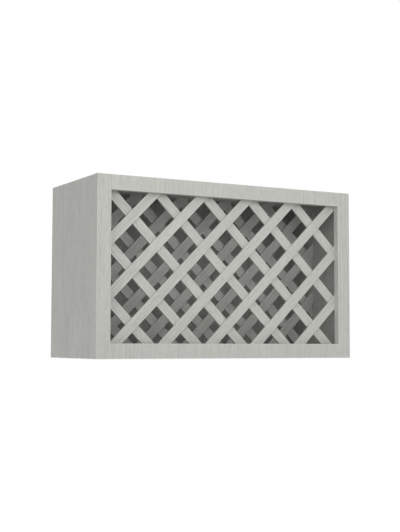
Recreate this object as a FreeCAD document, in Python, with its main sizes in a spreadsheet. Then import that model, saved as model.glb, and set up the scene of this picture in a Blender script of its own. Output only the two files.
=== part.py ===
"""Wall cabinet with a diamond lattice in its face frame and a second lattice halfway in, for wine bottles.

X runs to the right, Y from the front to the wall and Z up. The origin is the bottom centre of the whole cabinet.
"""
import FreeCAD, Part
import os
import re

doc = FreeCAD.newDocument("LatticeWallCabinet")

# Driving sizes in millimetres. Each one can be changed by itself.
SIZES = (
    ("width", "762", "outside width of the face frame and the box"),
    ("height", "457.2", "outside height"),
    ("depth", "304.8", "front of the face frame to the wall"),
    ("stile_width", "38.1", "width of the two upright frame members"),
    ("rail_width", "38.1", "height of the two level frame members"),
    ("frame_thickness", "19.05", "thickness of the face frame"),
    ("frame_edge_radius", "0.8", "easing of the frame's front edges"),
    ("side_thickness", "19.05", "thickness of the side panels"),
    ("panel_thickness", "12.7", "thickness of the top and bottom panels"),
    ("panel_edge_radius", "0.6", "easing of the side panels' outer edges"),
    ("panel_recess", "12.7", "distance of the top and bottom panels from the ends of the sides"),
    ("groove_depth", "6.35", "depth of every groove and housing in the panels"),
    ("groove_clearance", "0.5", "space between a panel's edge and the bottom of its groove"),
    ("groove_play", "0.3", "extra width of the grooves for the back"),
    ("back_thickness", "6.35", "thickness of the back panel"),
    ("hanger_thickness", "19.05", "thickness of the two hanging rails behind the back panel"),
    ("hanger_height", "69.85", "height of each hanging rail"),
    ("strip_width", "25.4", "width of a lattice strip"),
    ("strip_thickness", "6.35", "thickness of a lattice strip"),
    ("strip_edge_radius", "0.6", "easing of a strip's long edges"),
    ("cells_across", "5", "lattice cells across the frame's opening"),
    ("crossing_drop", "6.7", "distance of the crossing on the centre line below half height"),
    ("lattice_clearance", "0.5", "space between the front lattice's ends and the panels"),
    ("rear_lattice_setback", "149.2", "front of the cabinet to the face of the rear lattice"),
    ("brad_radius", "0.6", "radius of the brads at the crossings and at the ends of the rear strips"),
    ("brad_length", "10", "length of a brad at a crossing, driven from behind"),
    ("brad_clearance", "0.05", "radial clearance around a brad"),
    ("brad_margin", "12.7", "least distance from a brad to the lattice's edge"),
    ("end_brad_bite", "12.7", "part of an end brad that is in the strip, behind the top or bottom panel"),
    ("dowel_radius", "4", "radius of every dowel"),
    ("dowel_clearance", "0.1", "radial clearance around a dowel, and at each of its ends"),
    ("frame_dowel_length", "38", "length of a dowel between a rail and a stile"),
    ("frame_dowel_spacing", "17", "distance between the two dowels of a frame joint"),
    ("hanger_dowel_length", "28", "length of a dowel between a hanging rail and a side panel"),
    ("hanger_dowel_bite", "8", "part of that dowel that is in the side panel"),
    ("hanger_dowel_spacing", "38", "distance between the two dowels of a hanging rail's end"),
    ("cut_overrun", "3", "length by which a cut runs past an open face"),
)
sheet = doc.addObject("Spreadsheet::Sheet", "Sizes")
for row, (alias, number, note) in enumerate(SIZES, start=1):
    sheet.set(f"A{row}", alias)
    sheet.set(f"B{row}", number)
    sheet.set(f"C{row}", note)
    sheet.setAlias(f"B{row}", alias)
doc.recompute()
ALIASES = {alias for alias, number, note in SIZES}

# Planes that the pieces share, as expressions of the driving sizes.
FRONT = "-depth / 2"
FRAME_BACK = "(-depth / 2 + frame_thickness)"
WALL = "depth / 2"
INSIDE_RIGHT = "(width / 2 - side_thickness)"
INSIDE_LEFT = "(side_thickness - width / 2)"
FLOOR = "(panel_recess + panel_thickness)"
CEILING = "(height - panel_recess - panel_thickness)"
BACK_FACE = "(depth / 2 - hanger_thickness - back_thickness)"
HANGER_FACE = "(depth / 2 - hanger_thickness)"
REAR_LATTICE_FACE = "(rear_lattice_setback - depth / 2)"
TONGUE = "(groove_depth - groove_clearance)"
HALF_PITCH = "((width - 2 * stile_width) / (2 * cells_across))"
CROSSING = "(height / 2 - crossing_drop)"

LATTICE_ANGLE = 45.0
pieces = []
UPRIGHT = FreeCAD.Rotation()
ALONG_X = FreeCAD.Rotation(FreeCAD.Vector(0, 1, 0), 90)
ALONG_Y = FreeCAD.Rotation(FreeCAD.Vector(1, 0, 0), -90)


def bind(item, prop, text):
    """Bind one property to an expression written with the aliases of the sheet."""
    item.setExpression(prop, re.sub(r"[a-z_]+", lambda word: "Sizes." + word.group() if word.group() in ALIASES
                                    else word.group(), text))


def place(item, x, y, z, rotation=UPRIGHT):
    """Turn a piece or feature by a rotation and bind its place to three expressions."""
    item.Placement = FreeCAD.Placement(FreeCAD.Vector(), rotation)
    for axis, text in zip("xyz", (x, y, z)):
        bind(item, "Placement.Base." + axis, text)


def box(owner, kind, name, x, y, z):
    """Add a box that spans x, y and z, each given as expressions for its low and its high side."""
    item = owner.newObject(kind, name) if owner is not doc else doc.addObject(kind, name)
    for prop, (low, high) in zip(("Length", "Width", "Height"), (x, y, z)):
        bind(item, prop, f"({high}) - ({low})")
    place(item, x[0], y[0], z[0])
    return item


def cylinder(owner, kind, name, radius, length, x, y, z, rotation):
    """Add a cylinder that starts at x, y and z and runs along its turned axis."""
    item = owner.newObject(kind, name) if owner is not doc else doc.addObject(kind, name)
    bind(item, "Radius", radius)
    bind(item, "Height", length)
    place(item, x, y, z, rotation)
    return item


def piece(kind, name):
    """Start one of the cabinet's pieces, whose label is its name."""
    item = doc.addObject(kind, name)
    item.Label = name
    pieces.append(item)
    return item


def body(name):
    """Start a piece that is built up from features."""
    return piece("PartDesign::Body", name)


def ease(owner, feature, radius, test):
    """Round the edges of a feature for which a test of their two end points is true."""
    doc.recompute()
    names = [f"Edge{count}" for count, edge in enumerate(feature.Shape.Edges, start=1)
             if test(*(vertex.Point for vertex in edge.Vertexes))]
    item = owner.newObject("PartDesign::Fillet", "eased_edges")
    item.Base = (feature, names)
    bind(item, "Radius", radius)


def value(text):
    """Work out one of the expressions above from the sheet as a plain number."""
    def number(word):
        return str(sheet.get(word.group())) if word.group() in ALIASES else word.group()
    return float(FreeCAD.Units.Quantity(re.sub(r"[a-z_]+", number, text)).Value)


def near(number, text, share=0.25):
    """Tell whether a coordinate lies on a plane given as an expression."""
    return abs(number - value(text)) < share * value("frame_edge_radius")


def mirrored(name, source):
    """Make the right-hand twin of a left-hand piece."""
    item = piece("Part::Mirroring", name)
    item.Source = source
    item.Normal = FreeCAD.Vector(1, 0, 0)
    return item


def group(name, members):
    """Gather identical small pieces under one name, each still its own solid."""
    piece("Part::Compound", name).Links = members


# Face frame: two stiles run the full height and two rails fit between them, doweled at the four corners.
STILE = ("-width / 2", "-width / 2 + stile_width")
RAIL = ("-width / 2 + stile_width", "width / 2 - stile_width")
FRAME = (FRONT, FRAME_BACK)
RAILS = (("rail_top", ("height - rail_width", "height")), ("rail_bottom", ("0", "rail_width")))
DOWEL_HOLE = "dowel_radius + dowel_clearance"
FRAME_DOWEL_DEPTH = "(-depth / 2 + frame_thickness / 2)"
FRAME_DOWEL_HOLE_REACH = "(frame_dowel_length / 2 + dowel_clearance)"

stile_left = body("stile_left")
blank = box(stile_left, "PartDesign::AdditiveBox", "stile_blank", STILE, FRAME, ("0", "height"))
ease(stile_left, blank, "frame_edge_radius", lambda a, b: near(a.y, FRONT) and near(b.y, FRONT))
frame_dowels = []
for rail_name, (rail_low, rail_high) in RAILS:
    rail = body(rail_name)
    blank = box(rail, "PartDesign::AdditiveBox", "rail_blank", RAIL, FRAME, (rail_low, rail_high))
    ease(rail, blank, "frame_edge_radius",
         lambda a, b: near(a.y, FRONT) and near(b.y, FRONT) and abs(a.x - b.x) > abs(a.z - b.z))
    for side in (-1, 1):
        level = f"(({rail_low}) + rail_width / 2 + {side} * frame_dowel_spacing / 2)"
        cylinder(stile_left, "PartDesign::SubtractiveCylinder", "dowel_hole", DOWEL_HOLE,
                 f"{FRAME_DOWEL_HOLE_REACH} + cut_overrun",
                 f"stile_width - width / 2 - {FRAME_DOWEL_HOLE_REACH}", FRAME_DOWEL_DEPTH, level, ALONG_X)
        cylinder(rail, "PartDesign::SubtractiveCylinder", "dowel_hole_left", DOWEL_HOLE,
                 f"{FRAME_DOWEL_HOLE_REACH} + cut_overrun",
                 "stile_width - width / 2 - cut_overrun", FRAME_DOWEL_DEPTH, level, ALONG_X)
        cylinder(rail, "PartDesign::SubtractiveCylinder", "dowel_hole_right", DOWEL_HOLE,
                 f"{FRAME_DOWEL_HOLE_REACH} + cut_overrun",
                 f"width / 2 - stile_width - {FRAME_DOWEL_HOLE_REACH}", FRAME_DOWEL_DEPTH, level, ALONG_X)
        for joint in ("stile_width - width / 2", "width / 2 - stile_width"):
            frame_dowels.append(cylinder(doc, "Part::Cylinder", "frame_dowel", "dowel_radius", "frame_dowel_length",
                                         f"{joint} - frame_dowel_length / 2", FRAME_DOWEL_DEPTH, level, ALONG_X))
mirrored("stile_right", stile_left)
group("frame_dowels", frame_dowels)

# Box: side panels with housings for the top and bottom, and a groove for the back.
BOX_DEPTH = (FRAME_BACK, WALL)
BACK_GROOVE = (f"{BACK_FACE} - groove_play", HANGER_FACE)
TO_GROOVE_BOTTOM = (f"{INSIDE_LEFT} - groove_depth", f"{INSIDE_LEFT} + cut_overrun")
BETWEEN_HOUSINGS = ("panel_recess", "height - panel_recess")
HANGERS = (("hanging_rail_top", (f"{CEILING} - hanger_height", CEILING)),
           ("hanging_rail_bottom", (FLOOR, f"{FLOOR} + hanger_height")))
HANGER_DOWEL_DEPTH = "(depth / 2 - hanger_thickness / 2)"
HANGER_DOWEL_HOLD = "(hanger_dowel_length - hanger_dowel_bite)"

side_panel_left = body("side_panel_left")
blank = box(side_panel_left, "PartDesign::AdditiveBox", "side_blank", ("-width / 2", INSIDE_LEFT), BOX_DEPTH,
            ("0", "height"))
ease(side_panel_left, blank, "panel_edge_radius",
     lambda a, b: near(a.x, "-width / 2") and near(b.x, "-width / 2")
     and not (near(a.y, FRAME_BACK) and near(b.y, FRAME_BACK)))
for name, span in (("top_housing", (CEILING, "height - panel_recess")), ("bottom_housing", ("panel_recess", FLOOR))):
    box(side_panel_left, "PartDesign::SubtractiveBox", name, TO_GROOVE_BOTTOM,
        (f"{FRAME_BACK} - cut_overrun", f"{WALL} + cut_overrun"), span)
box(side_panel_left, "PartDesign::SubtractiveBox", "back_groove", TO_GROOVE_BOTTOM, BACK_GROOVE, BETWEEN_HOUSINGS)

# Hanging rails stand between the sides behind the back panel, flush with the wall, doweled into the sides.
hanger_dowels = []
for hanger_name, (hanger_low, hanger_high) in HANGERS:
    hanger = body(hanger_name)
    box(hanger, "PartDesign::AdditiveBox", "hanger_blank", (INSIDE_LEFT, INSIDE_RIGHT), (HANGER_FACE, WALL),
        (hanger_low, hanger_high))
    for side in (-1, 1):
        level = f"({hanger_low} + hanger_height / 2 + {side} * hanger_dowel_spacing / 2)"
        cylinder(side_panel_left, "PartDesign::SubtractiveCylinder", "hanger_dowel_hole", DOWEL_HOLE,
                 "hanger_dowel_bite + dowel_clearance + cut_overrun",
                 f"{INSIDE_LEFT} - hanger_dowel_bite - dowel_clearance", HANGER_DOWEL_DEPTH, level, ALONG_X)
        cylinder(hanger, "PartDesign::SubtractiveCylinder", "dowel_hole_left", DOWEL_HOLE,
                 f"{HANGER_DOWEL_HOLD} + dowel_clearance + cut_overrun",
                 f"{INSIDE_LEFT} - cut_overrun", HANGER_DOWEL_DEPTH, level, ALONG_X)
        cylinder(hanger, "PartDesign::SubtractiveCylinder", "dowel_hole_right", DOWEL_HOLE,
                 f"{HANGER_DOWEL_HOLD} + dowel_clearance + cut_overrun",
                 f"{INSIDE_RIGHT} - {HANGER_DOWEL_HOLD} - dowel_clearance", HANGER_DOWEL_DEPTH, level, ALONG_X)
        for start in (f"{INSIDE_LEFT} - hanger_dowel_bite", f"{INSIDE_RIGHT} - {HANGER_DOWEL_HOLD}"):
            hanger_dowels.append(cylinder(doc, "Part::Cylinder", "hanger_dowel", "dowel_radius",
                                          "hanger_dowel_length", start, HANGER_DOWEL_DEPTH, level, ALONG_X))
mirrored("side_panel_right", side_panel_left)
group("hanging_rail_dowels", hanger_dowels)

# Both lattices have rising strips in front and falling strips behind them. Their crossings lie on a grid of half
# pitches: column 0 is the centre line and row 0 the height of its crossing. A strip's key is its column in row 0.
half_pitch = value(HALF_PITCH)
LAYERS = ((0, "rising", -1), (1, "falling", 1))


def crossings(margin):
    """The crossings that lie inside the box by at least a margin, as columns and rows of the grid."""
    columns = int((value(INSIDE_RIGHT) - margin) // half_pitch)
    rows_up = int((value(CEILING) - margin - value(CROSSING)) // half_pitch)
    rows_down = int((value(CROSSING) - value(FLOOR) - margin) // half_pitch)
    return [(column, level) for level in range(-rows_down, rows_up + 1) for column in range(-columns, columns + 1)
            if (column + level) % 2 == 0]


def keys(lean):
    """The keys of all strips that lean one way."""
    return sorted({column + lean * level for column, level in crossings(0)})


def strip_end(key, lean, level):
    """Where along the width a strip's centre line reaches a height."""
    return f"({key} * {HALF_PITCH} - {lean} * ({level} - {CROSSING}))"


def end_keys(lean, level):
    """The keys of the strips whose ends take a brad at a height."""
    reach = value(INSIDE_RIGHT) - value("brad_margin")
    return [key for key in keys(lean) if abs(key * half_pitch - lean * (value(level) - value(CROSSING))) <= reach]


# Top and bottom panels enter the sides' housings. They carry the back's groove, and a brad for each rear strip's end.
PANEL_LENGTH = (f"{INSIDE_LEFT} - {TONGUE}", f"{INSIDE_RIGHT} + {TONGUE}")
GROOVE_LENGTH = (f"{PANEL_LENGTH[0]} - cut_overrun", f"{PANEL_LENGTH[1]} + cut_overrun")
BRAD_HOLE = "brad_radius + brad_clearance"
end_brads = []
end_brad_holes = {}
for name, span, cut, inner_face, brad_low in (
        ("top_panel", (CEILING, "height - panel_recess"), (f"{CEILING} - cut_overrun", f"{CEILING} + groove_depth"),
         CEILING, f"({CEILING} - end_brad_bite)"),
        ("bottom_panel", ("panel_recess", FLOOR), (f"{FLOOR} - groove_depth", f"{FLOOR} + cut_overrun"),
         FLOOR, "panel_recess")):
    panel = body(name)
    box(panel, "PartDesign::AdditiveBox", "panel_blank", PANEL_LENGTH, BOX_DEPTH, span)
    box(panel, "PartDesign::SubtractiveBox", "back_groove", GROOVE_LENGTH, BACK_GROOVE, cut)
    for layer, slope, lean in LAYERS:
        for key in end_keys(lean, inner_face):
            spot = (strip_end(key, lean, inner_face), f"{REAR_LATTICE_FACE} + ({layer} + 0.5) * strip_thickness")
            cylinder(panel, "PartDesign::SubtractiveCylinder", "end_brad_hole", BRAD_HOLE,
                     "panel_thickness + 2 * cut_overrun", *spot, f"({span[0]}) - cut_overrun", UPRIGHT)
            end_brads.append(cylinder(doc, "Part::Cylinder", "end_brad", "brad_radius",
                                      "panel_thickness + end_brad_bite", *spot, brad_low, UPRIGHT))
            end_brad_holes.setdefault((slope, key), []).append(
                cylinder(doc, "Part::Cylinder", "end_brad_hole", BRAD_HOLE, "panel_thickness + end_brad_bite",
                         *spot, brad_low, UPRIGHT))
group("rear_lattice_end_brads", end_brads)

back_panel = body("back_panel")
box(back_panel, "PartDesign::AdditiveBox", "back_blank", PANEL_LENGTH, (BACK_FACE, HANGER_FACE),
    (f"{FLOOR} - {TONGUE}", f"{CEILING} + {TONGUE}"))

# Lattices: a brad from the back holds the two strips of a crossing, except close to the lattice's edge.
STRIP_PITCH = f"(sqrt(2) * {HALF_PITCH})"
OVERSHOOT = f"(2 * {STRIP_PITCH})"
BRAD_START_FROM_BACK = "(2 * strip_thickness - brad_length)"
nailed = crossings(value("brad_margin"))


def strip(name, outline, face, layer, grid, angle, end_holes):
    """One strip through the crossings in grid, turned to its angle and trimmed by the lattice's outline."""
    bar = doc.addObject("PartDesign::Body", name + "_bar")
    blank = box(bar, "PartDesign::AdditiveBox", "strip_blank",
                (f"-{OVERSHOOT}", f"{OVERSHOOT} + {len(grid) - 1} * {STRIP_PITCH}"),
                ("0", "strip_thickness"), ("-strip_width / 2", "strip_width / 2"))
    ease(bar, blank, "strip_edge_radius", lambda a, b: abs(a.x - b.x) > abs(a.y - b.y) + abs(a.z - b.z))
    low, high = ((BRAD_START_FROM_BACK, "strip_thickness + cut_overrun") if layer == 0
                 else ("-cut_overrun", "strip_thickness + cut_overrun"))
    for count, point in enumerate(grid):
        if point in nailed:
            cylinder(bar, "PartDesign::SubtractiveCylinder", "brad_hole", BRAD_HOLE, f"({high}) - ({low})",
                     f"{count} * {STRIP_PITCH}", low, "0", ALONG_Y)
    column, level = grid[0]
    place(bar, f"{column} * {HALF_PITCH}", f"{face} + {layer} * strip_thickness",
          f"{CROSSING} + {level} * {HALF_PITCH}", FreeCAD.Rotation(FreeCAD.Vector(0, 1, 0), angle))
    trimmed = doc.addObject("Part::Common", name + "_trimmed") if end_holes else piece("Part::Common", name)
    trimmed.Base = bar
    trimmed.Tool = outline
    if end_holes:
        holes = doc.addObject("Part::Compound", name + "_end_holes")
        holes.Links = end_holes
        drilled = piece("Part::Cut", name)
        drilled.Base = trimmed
        drilled.Tool = holes


def lattice(prefix, face, x, z, end_holes):
    """A whole lattice whose outline spans x and z, with its brads. Some strips have holes for brads in their ends."""
    outline = box(doc, "Part::Box", prefix + "_outline", x, (f"{face} - cut_overrun",
                  f"{face} + 2 * strip_thickness + cut_overrun"), z)
    for layer, slope, lean in LAYERS:
        for key in keys(lean):
            grid = sorted(point for point in crossings(0) if point[0] + lean * point[1] == key)
            side = "centre" if key == 0 else f"{'left' if key < 0 else 'right'}_{abs(key) // 2}"
            strip(f"{prefix}_{slope}_strip_{side}", outline, face, layer, grid, lean * LATTICE_ANGLE,
                  end_holes.get((slope, key), []))
    brads = [cylinder(doc, "Part::Cylinder", prefix + "_brad", "brad_radius", "brad_length",
                      f"{column} * {HALF_PITCH}", f"{face} + {BRAD_START_FROM_BACK}",
                      f"{CROSSING} + {level} * {HALF_PITCH}", ALONG_Y) for column, level in nailed]
    group(prefix + "_lattice_brads", brads)


lattice("front", FRAME_BACK, (f"{INSIDE_LEFT} + lattice_clearance", f"{INSIDE_RIGHT} - lattice_clearance"),
        (f"{FLOOR} + lattice_clearance", f"{CEILING} - lattice_clearance"), {})
lattice("rear", REAR_LATTICE_FACE, (INSIDE_LEFT, INSIDE_RIGHT), (FLOOR, CEILING), end_brad_holes)

# Every piece is checked before any is written.
doc.recompute()
for item in doc.Objects:
    if "Invalid" in item.State or "Error" in item.State:
        raise RuntimeError(f"{item.Label} failed: {item.State}")
for item in pieces:
    if item.Shape.isNull() or not item.Shape.isValid():
        raise RuntimeError(f"{item.Label} has no valid shape")
os.makedirs("parts", exist_ok=True)
for item in pieces:
    item.Shape.exportStep(f"parts/{item.Label}.step")
    print(f"{item.Label}: {len(item.Shape.Solids)} solid(s), {item.Shape.Volume:.0f} mm3")
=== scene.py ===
# %% [markdown]
# # A painted wall cabinet with a wine lattice
#
# The cabinet is a plywood box behind a solid wood face frame. A lattice of thin strips stands behind the frame's
# opening and a second one halfway in, so a bottle lies across both. Everything that shows is sprayed with one satin
# grey paint, thin enough that the grain of the wood still reads through it. The back, top and bottom panels get a
# darker copy of that grey, a painted shade for the dim inside of the box. The boards and strips come from the
# construction model as they are. What this file adds is the finish of every surface, the light and the camera.

# %% Load the construction model and keep its box
import math

import bpy
import numpy as np
from mathutils import Matrix, Vector


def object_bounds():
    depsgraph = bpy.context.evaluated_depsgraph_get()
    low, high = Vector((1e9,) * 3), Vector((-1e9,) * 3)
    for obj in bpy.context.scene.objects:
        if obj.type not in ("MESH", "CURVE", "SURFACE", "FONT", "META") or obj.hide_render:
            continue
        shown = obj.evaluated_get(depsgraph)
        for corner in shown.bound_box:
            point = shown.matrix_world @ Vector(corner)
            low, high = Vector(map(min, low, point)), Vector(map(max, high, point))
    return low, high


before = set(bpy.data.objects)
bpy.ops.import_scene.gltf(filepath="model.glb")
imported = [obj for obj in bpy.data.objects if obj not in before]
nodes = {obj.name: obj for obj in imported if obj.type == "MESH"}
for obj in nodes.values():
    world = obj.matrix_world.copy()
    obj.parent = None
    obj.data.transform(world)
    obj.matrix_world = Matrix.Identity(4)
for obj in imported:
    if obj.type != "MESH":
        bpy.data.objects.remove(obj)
cad_low, cad_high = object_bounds()
print("nodes:", len(nodes), "box:", [round(v, 4) for v in cad_high - cad_low])

# %% [markdown]
# ## Helpers for shader nodes
#
# A material is a graph, and most of the code that builds one is repetition: make a node, set a few sockets, plug a
# few others. Small helpers keep each recipe below down to what it says about the paint. `add_node` makes a node and
# fills its inputs with numbers, colours or links, `new_group` opens a reusable group with named sockets, and those
# between them are single steps: a sum, a stretch, a noise, a change of range.

# %% Node helpers
def add_node(tree, kind, inputs=None, **settings):
    """Make one node. Each entry of inputs is a plain value, or an output socket to link from."""
    node = tree.nodes.new(kind)
    for name, setting in settings.items():
        setattr(node, name, setting)
    for key, value in (inputs or {}).items():
        if isinstance(value, bpy.types.NodeSocket):
            tree.links.new(value, node.inputs[key])
        else:
            node.inputs[key].default_value = value
    return node


def calculate(tree, operation, first, second=0.0, third=None):
    """One step of arithmetic on values."""
    inputs = {0: first, 1: second} if third is None else {0: first, 1: second, 2: third}
    return add_node(tree, "ShaderNodeMath", inputs, operation=operation).outputs[0]


def stretched(tree, vector, scale):
    """The vector with its three parts multiplied by three numbers."""
    return add_node(tree, "ShaderNodeVectorMath", {0: vector, 1: scale}, operation="MULTIPLY").outputs[0]


def noise(tree, vector, detail=3.0, roughness=0.55):
    """Noise of unit cell size, read at the vector."""
    found = add_node(tree, "ShaderNodeTexNoise", {"Vector": vector, "Scale": 1.0, "Detail": detail,
                                                  "Roughness": roughness})
    return found.outputs["Fac"]


def remap(tree, value, low, high, new_low=0.0, new_high=1.0):
    """The value's range from low to high spread over a new range, clamped at both ends."""
    return add_node(tree, "ShaderNodeMapRange", {"Value": value, "From Min": low, "From Max": high,
                                                 "To Min": new_low, "To Max": new_high}).outputs["Result"]


def new_group(name, inputs, outputs):
    """A shader node group with named sockets: inputs are (name, kind, default) and outputs (name, kind)."""
    group = bpy.data.node_groups.new(name, "ShaderNodeTree")
    for socket, kind, default in inputs:
        group.interface.new_socket(socket, in_out="INPUT", socket_type=kind).default_value = default
    for socket, kind in outputs:
        group.interface.new_socket(socket, in_out="OUTPUT", socket_type=kind)
    return group, group.nodes.new("NodeGroupInput").outputs, group.nodes.new("NodeGroupOutput").inputs


FLOAT, COLOUR, VECTOR = "NodeSocketFloat", "NodeSocketColor", "NodeSocketVector"

# %% [markdown]
# ## The grain under the paint
#
# Ash and oak have open pores: short dark dashes along the grain, about a third of a millimetre wide and a few
# centimetres long. Between them lie broader bands a few millimetres wide, where early and late wood take the
# paint differently, and in a sliced veneer these bands close into tall pointed arches. A picture of wood would do
# this too, but it would tile and blur up close. Noise that is squeezed across the grain and stretched along it gives
# the dashes and the bands at any distance. The group expects coordinates in metres with Z along the grain. Each set
# of three numbers below is a noise's cells per metre, many across the grain and few along it, apart from the sway,
# which is in metres, and the arches' flatness, which is a share.

# %% Group: wood grain
MM = 0.001
BEND_SCALE, SWAY = (9, 9, 2.2), (14 * MM, 14 * MM, 0)
LONG_STREAKS, SHORT_STREAKS, BOTH_LOW, BOTH_HIGH = (420, 420, 3.2), (620, 620, 75), 0.33, 0.67
PORES, PORE_LOW, PORE_HIGH = (1100, 1100, 34), 0.60, 0.70
PORE_PATCHES, PATCH_LOW, PATCH_HIGH, PATCH_AMOUNT = (150, 150, 9), 0.35, 0.65, 0.07
ARCH_FLATNESS, ARCHES_PER_METRE, ARCH_SHARPNESS = (1, 1, 0.16), 90.0, 3.0
WANDER_SCALE, WANDER = (20, 20, 3.5), 3.0
BLOTCHES, BLOTCH_LOW, BLOTCH_HIGH = (11, 11, 5), 0.3, 0.7
grain_group, g_in, g_out = new_group(
    "wood_grain",
    [("Vector", VECTOR, (0, 0, 0)), ("Fineness", FLOAT, 1.0), ("Arch Centre", VECTOR, (0, 0, 0)),
     ("Arch Amount", FLOAT, 0.0)],
    [("Streaks", FLOAT), ("Pores", FLOAT), ("Arches", FLOAT), ("Blotches", FLOAT)])
bend = add_node(grain_group, "ShaderNodeTexNoise", {
    "Vector": stretched(grain_group, g_in["Vector"], BEND_SCALE), "Scale": 1.0, "Detail": 2.0})
sway = add_node(grain_group, "ShaderNodeVectorMath", {0: bend.outputs["Color"], 1: (0.5, 0.5, 0.5)},
                operation="SUBTRACT").outputs[0]
waved = add_node(grain_group, "ShaderNodeVectorMath", {
    0: g_in["Vector"], 1: stretched(grain_group, sway, SWAY)}, operation="ADD").outputs[0]
fine = add_node(grain_group, "ShaderNodeVectorMath", {0: waved}, operation="SCALE")
grain_group.links.new(g_in["Fineness"], fine.inputs["Scale"])
long_streaks = noise(grain_group, stretched(grain_group, fine.outputs[0], LONG_STREAKS), detail=2.0, roughness=0.7)
short_streaks = noise(grain_group, stretched(grain_group, fine.outputs[0], SHORT_STREAKS), detail=2.0,
                      roughness=0.6)
both = calculate(grain_group, "MULTIPLY", calculate(grain_group, "ADD", long_streaks, short_streaks), 0.5)
grain_group.links.new(remap(grain_group, both, BOTH_LOW, BOTH_HIGH), g_out["Streaks"])
pore_field = noise(grain_group, stretched(grain_group, waved, PORES), detail=1.0, roughness=0.4)
patches = noise(grain_group, stretched(grain_group, waved, PORE_PATCHES))
patchy = remap(grain_group, patches, PATCH_LOW, PATCH_HIGH, 0.0, PATCH_AMOUNT)
pores = remap(grain_group, calculate(grain_group, "ADD", pore_field, patchy), PORE_LOW, PORE_HIGH)
grain_group.links.new(pores, g_out["Pores"])
from_centre = add_node(grain_group, "ShaderNodeVectorMath", {0: waved, 1: g_in["Arch Centre"]},
                       operation="SUBTRACT").outputs[0]
arch_space = stretched(grain_group, from_centre, ARCH_FLATNESS)
arch_distance = add_node(grain_group, "ShaderNodeVectorMath", {0: arch_space}, operation="LENGTH").outputs["Value"]
wander = calculate(grain_group, "MULTIPLY", noise(grain_group, stretched(grain_group, waved, WANDER_SCALE)), WANDER)
turns = calculate(grain_group, "ADD", calculate(grain_group, "MULTIPLY", arch_distance, ARCHES_PER_METRE), wander)
ring = calculate(grain_group, "POWER", calculate(grain_group, "FRACT", turns), ARCH_SHARPNESS)
grain_group.links.new(calculate(grain_group, "MULTIPLY", ring, g_in["Arch Amount"]), g_out["Arches"])
blotches = noise(grain_group, stretched(grain_group, g_in["Vector"], BLOTCHES), detail=2.0)
grain_group.links.new(remap(grain_group, blotches, BLOTCH_LOW, BLOTCH_HIGH), g_out["Blotches"])
print("wood_grain nodes:", len(grain_group.nodes))

# %% [markdown]
# ## Eased edges and their painted highlight
#
# The long edges of the boards and strips are eased with sandpaper before spraying, and hands polish the film there.
# A narrow line along each edge is also painted a shade lighter: a painted highlight, where the eased edge would
# catch the light. It could be painted by hand or read from the mesh's curvature, but these meshes have no points near
# their edges. All boards are straight and most repeat at a fixed pitch, so one formula finds the edges: the distance
# across the board from its centre line, folded back and forth over the pitch, is largest at the edge.

# %% Group: painted highlight on eased edges
EDGE_STARTS, EDGE_FULL = 3.2 * MM, 1.0 * MM
# This mask places a painted highlight: a lighter line along each eased edge of a broad face.
edge_highlight_group, e_in, e_out = new_group(
    "edge_highlight_and_polish", [("Across", FLOAT, 0.0), ("Centre", FLOAT, 0.0), ("Pitch", FLOAT, 1.0), ("Half Width", FLOAT, 0.01)],
    [("Edge", FLOAT)])
from_line = calculate(edge_highlight_group, "PINGPONG", calculate(edge_highlight_group, "SUBTRACT", e_in["Across"], e_in["Centre"]),
                      calculate(edge_highlight_group, "MULTIPLY", e_in["Pitch"], 0.5))
inward = calculate(edge_highlight_group, "SUBTRACT", e_in["Half Width"], from_line)
edge_highlight_group.links.new(remap(edge_highlight_group, inward, EDGE_STARTS, EDGE_FULL), e_out["Edge"])
print("edge_highlight_and_polish nodes:", len(edge_highlight_group.nodes))

# %% [markdown]
# ## The paint film
#
# Sprayed satin paint is one colour, so what the eye reads as grain is small: a band is a shade lighter or darker, a
# pore is a little darker because the film sinks into it, the film is glossier on the hard late wood and on a handled
# edge, and a line along an eased edge is painted lighter as a painted highlight. Another group turns the masks into a
# colour, a roughness and a height, and each material feeds them to its own Principled shader. The numbers at its top
# say how much each mask does.

# %% Group: paint film
# The edge tone is a painted highlight: the line along an eased edge is painted this much lighter.
STREAK_TONE, BLOTCH_TONE, PORE_TONE, ARCH_TONE, EDGE_HIGHLIGHT_TONE = 0.24, 0.03, 0.13, 0.13, 0.10
SATIN, PORE_DULLNESS, STREAK_GLOSS, EDGE_GLOSS = 0.46, 0.2, 0.08, 0.08
STREAK_RELIEF, ARCH_RELIEF = 0.25, 0.3
film_group, f_in, f_out = new_group(
    "paint_film",
    [("Colour", COLOUR, (0.5, 0.5, 0.5, 1)), ("Streaks", FLOAT, 0.5), ("Pores", FLOAT, 0.0), ("Arches", FLOAT, 0.0),
     ("Blotches", FLOAT, 0.5), ("Edge", FLOAT, 0.0), ("Contrast", FLOAT, 1.0)],
    [("Colour", COLOUR), ("Roughness", FLOAT), ("Height", FLOAT)])


def share_of(mask, centre, strength):
    """A mask turned into a small change of tone or gloss: its distance from the centre value, times strength."""
    return calculate(film_group, "MULTIPLY", calculate(film_group, "SUBTRACT", mask, centre), strength)


tone = calculate(film_group, "ADD", share_of(f_in["Streaks"], 0.5, STREAK_TONE),
                 share_of(f_in["Blotches"], 0.5, BLOTCH_TONE))
dark = calculate(film_group, "ADD", share_of(f_in["Pores"], 0.0, PORE_TONE), share_of(f_in["Arches"], 0.0, ARCH_TONE))
tone = calculate(film_group, "MULTIPLY", calculate(film_group, "SUBTRACT", tone, dark), f_in["Contrast"])
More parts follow.
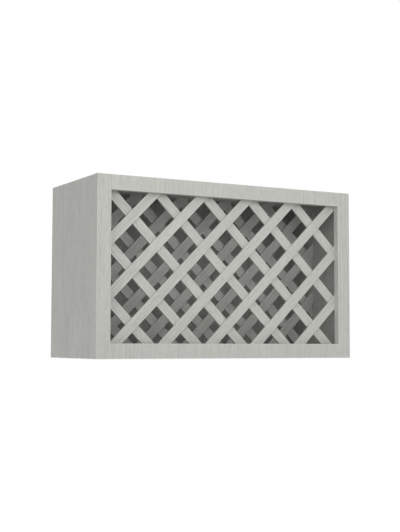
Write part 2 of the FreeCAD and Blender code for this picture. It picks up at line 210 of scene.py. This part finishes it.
# The edge mask lifts the colour here: a painted highlight along the eased edges.
brightness = calculate(film_group, "ADD", tone, calculate(film_group, "MULTIPLY_ADD", f_in["Edge"], EDGE_HIGHLIGHT_TONE, 1.0))
film = add_node(film_group, "ShaderNodeVectorMath", {0: f_in["Colour"]}, operation="SCALE")
film_group.links.new(brightness, film.inputs["Scale"])
film_group.links.new(film.outputs[0], f_out["Colour"])
dullness = calculate(film_group, "ADD", share_of(f_in["Pores"], 0.0, PORE_DULLNESS),
                     share_of(f_in["Streaks"], 0.5, -STREAK_GLOSS))
polish = calculate(film_group, "MULTIPLY_ADD", f_in["Edge"], -EDGE_GLOSS, SATIN)
film_group.links.new(calculate(film_group, "ADD", dullness, polish), f_out["Roughness"])
raised_streaks = calculate(film_group, "MULTIPLY", f_in["Streaks"], STREAK_RELIEF)
sunk_arches = calculate(film_group, "MULTIPLY", f_in["Arches"], ARCH_RELIEF)
relief = calculate(film_group, "SUBTRACT", raised_streaks, calculate(film_group, "ADD", f_in["Pores"], sunk_arches))
film_group.links.new(relief, f_out["Height"])
print("paint_film nodes:", len(film_group.nodes))

# %% [markdown]
# ## One painted material for each direction of the grain
#
# Boards are cut along the grain, so the grain follows the long side of a strip. The frame and the panels show it
# upright, as the veneer of such a cabinet does. The coordinates are the object's own in metres. One Mapping node
# turns them until Z lies along the grain, and a second one slides them by a different amount for each kind of board,
# so that no two repeat. The Principled shader stays in the material itself.

# %% Painted wood
# The inside paint is the same grey made darker, a painted shade for the dim inside of the box.
PAINT, SHADED_INSIDE_PAINT = (0.472, 0.478, 0.445), (0.434, 0.440, 0.409)
SHEEN, DEEPEST_GRAIN = 0.35, 0.06 * MM


def painted_wood(name, colour, edges, turn=(0, 0, 0), slide=(0, 0, 0), fineness=1.0, contrast=1.0,
                 arch_centre=(0, 0, 0), arch_amount=0.0):
    """Satin paint over wood: turn lays Z along the grain, slide shifts the pattern and contrast scales its tones.

    edges holds the turned axis across the board, its centre line, the boards' pitch, half a board's width, and the
    axis that the board's broad faces look along, because only those get the painted highlight along their edges."""
    material = bpy.data.materials.new(name)
    material.use_nodes = True
    tree = material.node_tree
    shader = tree.nodes["Principled BSDF"]
    place = add_node(tree, "ShaderNodeTexCoord")
    turned = add_node(tree, "ShaderNodeMapping", {"Vector": place.outputs["Object"], "Rotation": turn})
    slid = add_node(tree, "ShaderNodeMapping", {"Vector": turned.outputs["Vector"], "Location": slide})
    grain = add_node(tree, "ShaderNodeGroup", node_tree=grain_group)
    tree.links.new(slid.outputs["Vector"], grain.inputs["Vector"])
    for key, number in (("Fineness", fineness), ("Arch Centre", arch_centre), ("Arch Amount", arch_amount)):
        grain.inputs[key].default_value = number
    film_node = add_node(tree, "ShaderNodeGroup", node_tree=film_group)
    film_node.inputs["Colour"].default_value = (*colour, 1)
    film_node.inputs["Contrast"].default_value = contrast
    for mask in ("Streaks", "Pores", "Arches", "Blotches"):
        tree.links.new(grain.outputs[mask], film_node.inputs[mask])
    # The edge mask paints a highlight, a lighter line along the eased edges of the broad faces, and also makes them
    # glossier.
    across = add_node(tree, "ShaderNodeSeparateXYZ", {0: turned.outputs["Vector"]}).outputs[edges[0]]
    edge = add_node(tree, "ShaderNodeGroup", node_tree=edge_highlight_group)
    tree.links.new(across, edge.inputs["Across"])
    for key, number in zip(("Centre", "Pitch", "Half Width"), edges[1:4]):
        edge.inputs[key].default_value = number
    facing = add_node(tree, "ShaderNodeSeparateXYZ", {0: place.outputs["Normal"]}).outputs[edges[4]]
    broad = calculate(tree, "GREATER_THAN", calculate(tree, "ABSOLUTE", facing), 0.5)
    tree.links.new(calculate(tree, "MULTIPLY", edge.outputs["Edge"], broad), film_node.inputs["Edge"])
    raised = add_node(tree, "ShaderNodeBump", {"Strength": 1.0, "Distance": DEEPEST_GRAIN,
                                               "Height": film_node.outputs["Height"]})
    tree.links.new(film_node.outputs["Colour"], shader.inputs["Base Color"])
    tree.links.new(film_node.outputs["Roughness"], shader.inputs["Roughness"])
    tree.links.new(raised.outputs["Normal"], shader.inputs["Normal"])
    shader.inputs["Specular IOR Level"].default_value = SHEEN
    material.diffuse_color = (*colour, 1)
    return material


def named(*starts):
    """The construction nodes whose names start with one of these words, in order."""
    return [name for name in sorted(nodes) if name.startswith(starts)]


def finish_nodes(names, material):
    """Give these construction nodes a material."""
    for name in names:
        for slot in nodes[name].material_slots:
            slot.material = material
    print(material.name, "on", len(names), "nodes")


WIDTH, HEIGHT, MEMBER = 762 * MM, 457.2 * MM, 38.1 * MM
stile_centre = (WIDTH - MEMBER) / 2
finish_nodes(named("stile_left"), painted_wood("frame_paint_left", PAINT,
                                               ("X", -stile_centre, WIDTH, MEMBER / 2, "Y"), slide=(0.31, 0, 0.2)))
finish_nodes(named("stile_right"), painted_wood("frame_paint_right", PAINT,
                                                ("X", stile_centre, WIDTH, MEMBER / 2, "Y"), slide=(-0.52, 0, 0.7)))
finish_nodes(named("rail_"), painted_wood("frame_paint_rails", PAINT,
                                          ("Z", MEMBER / 2, HEIGHT - MEMBER, MEMBER / 2, "Y"), slide=(0.05, 0, 0.4)))
EIGHTH_TURN = math.radians(45)
STRIP_WIDTH, STRIP_PITCH, CROSSING_HEIGHT = 25.4 * MM, 137.16 * MM, 221.9 * MM
for place_name, deeper in (("front", 0.0), ("rear", 0.6)):
    for slope, turn in (("rising", -EIGHTH_TURN), ("falling", EIGHTH_TURN)):
        # An eighth of a turn about Y brings the strip's own direction onto Z.
        strips = ("X", CROSSING_HEIGHT * math.sin(turn), STRIP_PITCH * math.cos(turn), STRIP_WIDTH / 2, "Y")
        finish_nodes(named(f"{place_name}_{slope}_strip"),
                     painted_wood(f"{place_name}_{slope}_paint", PAINT, strips, turn=(0, turn, 0),
                                  slide=(deeper, 0, deeper), fineness=1.2, contrast=1.15))
panel_height = ("Z", HEIGHT / 2, 2 * HEIGHT, HEIGHT / 2, "X")
finish_nodes(named("side_panel"), painted_wood("side_paint", PAINT, panel_height, slide=(0, 0.21, 0.1), contrast=1.3,
                                               fineness=1.2, arch_centre=(0.38, 0.03, 0.05), arch_amount=0.45))
# The back, top and bottom panels take the darker grey: a painted shade for the inside of the box.
finish_nodes(named("back_panel", "top_panel", "bottom_panel"),
             painted_wood("inside_paint", SHADED_INSIDE_PAINT, panel_height, slide=(0.2, 0.4, 0.3), contrast=1.2,
                          arch_amount=0.5))

# %% [markdown]
# ## Bare wood and steel out of sight
#
# The hanging rails show only from behind, where nobody paints them: they are plywood, with a sandwich of plies on
# their edges. The dowels are beech and the brads bright steel. They hardly show, but a piece taken out of the model
# should look like what it is.

# %% Plywood, beech and steel
PLY, PLY_TONE, BARE_GRAIN, BARE_ARCHES = 1.4 * MM, 0.45, 0.08 * MM, 0.7
SAWN_SMOOTH, SAWN_ROUGH = 0.62, 0.8
PLYWOOD_LIGHT, PLYWOOD_DARK = (0.62, 0.47, 0.30), (0.44, 0.30, 0.17)
BEECH_LIGHT, BEECH_DARK = (0.66, 0.50, 0.34), (0.52, 0.36, 0.22)
STEEL, WIRE_SCRATCHES, SCRATCH_LOW, SCRATCH_HIGH = (0.62, 0.62, 0.63, 1), (9000, 250, 9000), 0.3, 0.7
WIRE_SMOOTH, WIRE_ROUGH = 0.24, 0.42


def bare_wood(name, light, dark, turn=(0, 0, 0)):
    """Unpainted wood: the grain blends two browns, and darker plies cross it where a face cuts the sheet."""
    material = bpy.data.materials.new(name)
    material.use_nodes = True
    tree = material.node_tree
    shader = tree.nodes["Principled BSDF"]
    place = add_node(tree, "ShaderNodeTexCoord")
    turned = add_node(tree, "ShaderNodeMapping", {"Vector": place.outputs["Object"], "Rotation": turn})
    grain = add_node(tree, "ShaderNodeGroup", node_tree=grain_group)
    tree.links.new(turned.outputs["Vector"], grain.inputs["Vector"])
    grain.inputs["Arch Amount"].default_value = BARE_ARCHES
    half_streaks = calculate(tree, "MULTIPLY", grain.outputs["Streaks"], 0.5)
    mixed = calculate(tree, "MAXIMUM", grain.outputs["Arches"], half_streaks)
    brown = add_node(tree, "ShaderNodeMix", {"Factor": mixed, "A": (*light, 1), "B": (*dark, 1)}, data_type="RGBA")
    depth = add_node(tree, "ShaderNodeSeparateXYZ", {0: place.outputs["Object"]}).outputs["Y"]
    layer = calculate(tree, "GREATER_THAN", calculate(tree, "PINGPONG", depth, PLY), PLY / 2)
    facing = add_node(tree, "ShaderNodeSeparateXYZ", {0: place.outputs["Normal"]}).outputs["Y"]
    on_edge = calculate(tree, "LESS_THAN", calculate(tree, "ABSOLUTE", facing), 0.5)
    plies = calculate(tree, "MULTIPLY", calculate(tree, "MULTIPLY", layer, on_edge), PLY_TONE)
    edge = add_node(tree, "ShaderNodeMix", {"Factor": plies, "A": brown.outputs["Result"], "B": (*dark, 1)},
                    data_type="RGBA")
    tree.links.new(edge.outputs["Result"], shader.inputs["Base Color"])
    tree.links.new(remap(tree, grain.outputs["Pores"], 0.0, 1.0, SAWN_SMOOTH, SAWN_ROUGH), shader.inputs["Roughness"])
    raised = add_node(tree, "ShaderNodeBump", {"Strength": 1.0, "Distance": BARE_GRAIN,
                                               "Height": grain.outputs["Streaks"]})
    tree.links.new(raised.outputs["Normal"], shader.inputs["Normal"])
    return material


def brushed_steel(name):
    """Drawn wire: scratches run along Y, the way a brad is driven."""
    material = bpy.data.materials.new(name)
    material.use_nodes = True
    tree = material.node_tree
    shader = tree.nodes["Principled BSDF"]
    place = add_node(tree, "ShaderNodeTexCoord")
    scratches = noise(tree, stretched(tree, place.outputs["Object"], WIRE_SCRATCHES), detail=2.0)
    roughness = remap(tree, scratches, SCRATCH_LOW, SCRATCH_HIGH, WIRE_SMOOTH, WIRE_ROUGH)
    tree.links.new(roughness, shader.inputs["Roughness"])
    shader.inputs["Base Color"].default_value = STEEL
    shader.inputs["Metallic"].default_value = 1.0
    return material


ALONG_RAIL = (0, math.radians(90), 0)
finish_nodes(named("hanging_rail_top", "hanging_rail_bottom"),
             bare_wood("rail_plywood", PLYWOOD_LIGHT, PLYWOOD_DARK, ALONG_RAIL))
finish_nodes(named("frame_dowels", "hanging_rail_dowels"),
             bare_wood("dowel_beech", BEECH_LIGHT, BEECH_DARK, ALONG_RAIL))
finish_nodes(named("front_lattice_brads", "rear_lattice_brads", "rear_lattice_end_brads"), brushed_steel("brad_steel"))

# %% [markdown]
# ## Floor and light
#
# The cabinet is shown as in a catalogue: soft light from everywhere and a white ground with no visible edge. A room
# full of lamps could do that, but each one would add a shadow of the lattice inside. So the surroundings themselves
# give the light, as a smooth function of direction: a dim part all round, a broad glow low at the front left, which
# reaches the inner face of the right side, and some more from overhead. How far a direction leads towards a glow is
# raised to a power, which makes the glow as narrow as it should be. The camera sees the surroundings plain white, and
# the pale floor glows for the camera alone, so neither has an edge. One broad lamp stands near, in front and a little
# above. Being near, it gives the front its slow fall from top to bottom, and being low, it reaches far into the box.

# %% Stage
def flat_sheet(name, low, high, level):
    """A flat rectangle at one height, as four points worked out from two corners."""
    corners = np.array([(x, y, level) for x, y in ((low[0], low[1]), (high[0], low[1]), (high[0], high[1]),
                                                   (low[0], high[1]))])
    mesh = bpy.data.meshes.new(name)
    mesh.from_pydata(corners.tolist(), [], [(0, 1, 2, 3)])
    sheet = bpy.data.objects.new(name, mesh)
    bpy.context.scene.collection.objects.link(sheet)
    return sheet


FLOOR_REACH, HANGING_HEIGHT = 40.0, 1.37
floor = flat_sheet("studio_floor", (-FLOOR_REACH, -FLOOR_REACH), (FLOOR_REACH, FLOOR_REACH),
                   cad_low.z - HANGING_HEIGHT)
floor_paint = bpy.data.materials.new("floor_white")
floor_paint.use_nodes = True
floor_shader = floor_paint.node_tree.nodes["Principled BSDF"]
floor_shader.inputs["Base Color"].default_value = (0.87, 0.87, 0.87, 1)
floor_shader.inputs["Roughness"].default_value = 0.9
floor_shader.inputs["Specular IOR Level"].default_value = 0.1
floor_shader.inputs["Emission Color"].default_value = (1, 1, 1, 1)
floor_seen = add_node(floor_paint.node_tree, "ShaderNodeLightPath").outputs["Is Camera Ray"]
floor_paint.node_tree.links.new(floor_seen, floor_shader.inputs["Emission Strength"])
floor.data.materials.append(floor_paint)

BRIGHT_SIDE = (-0.80, -0.59, 0.10)
DIM, GLOW, OVERHEAD = 0.265, 1.55, 1.15
GLOW_FOCUS, OVERHEAD_FOCUS = 4.0, 3.0
world = bpy.data.worlds.new("studio")
world.use_nodes = True
bpy.context.scene.world = world
sky = world.node_tree
for node in list(sky.nodes):
    sky.nodes.remove(node)
direction = add_node(sky, "ShaderNodeTexCoord").outputs["Generated"]
lead = add_node(sky, "ShaderNodeVectorMath", {0: direction, 1: BRIGHT_SIDE}, operation="DOT_PRODUCT").outputs["Value"]
glow = calculate(sky, "POWER", calculate(sky, "MAXIMUM", lead, 0.0), GLOW_FOCUS)
height = add_node(sky, "ShaderNodeSeparateXYZ", {0: direction}).outputs["Z"]
overhead = calculate(sky, "POWER", calculate(sky, "MAXIMUM", height, 0.0), OVERHEAD_FOCUS)
fill = calculate(sky, "MULTIPLY_ADD", overhead, OVERHEAD, DIM)
studio_light = calculate(sky, "MULTIPLY_ADD", glow, GLOW, fill)
seen = add_node(sky, "ShaderNodeLightPath").outputs["Is Camera Ray"]
level = add_node(sky, "ShaderNodeMix", {"Factor": seen, "A": studio_light, "B": 1.0}).outputs["Result"]
background = add_node(sky, "ShaderNodeBackground", {"Color": (1, 1, 1, 1), "Strength": level})
add_node(sky, "ShaderNodeOutputWorld", {"Surface": background.outputs[0]})


def soft_lamp(name, spot, aim, width, height, power):
    """A broad rectangular lamp at a spot, turned towards its aim."""
    data = bpy.data.lights.new(name, "AREA")
    data.shape, data.size, data.size_y, data.energy = "RECTANGLE", width, height, power
    lamp = bpy.data.objects.new(name, data)
    lamp.location = spot
    lamp.rotation_mode = "QUATERNION"
    lamp.rotation_quaternion = (Vector(aim) - Vector(spot)).to_track_quat("-Z", "Y")
    bpy.context.scene.collection.objects.link(lamp)
    return lamp


LAMP_SPOT, LAMP_WIDTH, LAMP_HEIGHT, LAMP_WATTS = (-0.05, -1.5, 0.8), 1.4, 0.7, 7.7
middle = (cad_low + cad_high) / 2
soft_lamp("front_lamp", LAMP_SPOT, middle, LAMP_WIDTH, LAMP_HEIGHT, LAMP_WATTS)

# %% [markdown]
# ## Camera
#
# The catalogue camera stands 1.4 m left of the cabinet's centre and 2.6 m in front, with its lens a few centimetres
# above the cabinet's lower edge, so the box is seen slightly from below. The place, the three angles and the focal
# length were fitted to the cabinet's edges. A camera looks along its own -Z with Y up, so the rotation's columns are
# its right, its up and the reverse of its view.

# %% Camera
IMAGE_LONG_SIDE, SENSOR, FOCAL_PIXELS = 532, 36.0, 1089.41
YAW, PITCH, ROLL = (math.radians(angle) for angle in (28.727, 4.039, -0.129))
CAMERA_SPOT = Vector((-1.43709, -2.60455, 0.04002))
view = Vector((math.sin(YAW) * math.cos(PITCH), math.cos(YAW) * math.cos(PITCH), math.sin(PITCH)))
right = Vector((math.cos(YAW), -math.sin(YAW), 0))
down = view.cross(right)
right, down = (math.cos(ROLL) * right + math.sin(ROLL) * down, math.cos(ROLL) * down - math.sin(ROLL) * right)
lens = bpy.data.cameras.new("catalogue_camera")
lens.sensor_width = SENSOR
lens.lens = FOCAL_PIXELS * SENSOR / IMAGE_LONG_SIDE
camera = bpy.data.objects.new("catalogue_camera", lens)
camera.matrix_world = Matrix.Translation(CAMERA_SPOT) @ Matrix((right, -down, -view)).transposed().to_4x4()
bpy.context.scene.collection.objects.link(camera)
bpy.context.scene.camera = camera
bpy.context.scene.view_settings.view_transform = "Standard"
print("lens:", round(lens.lens, 2), "mm, down is", [round(v, 3) for v in down])
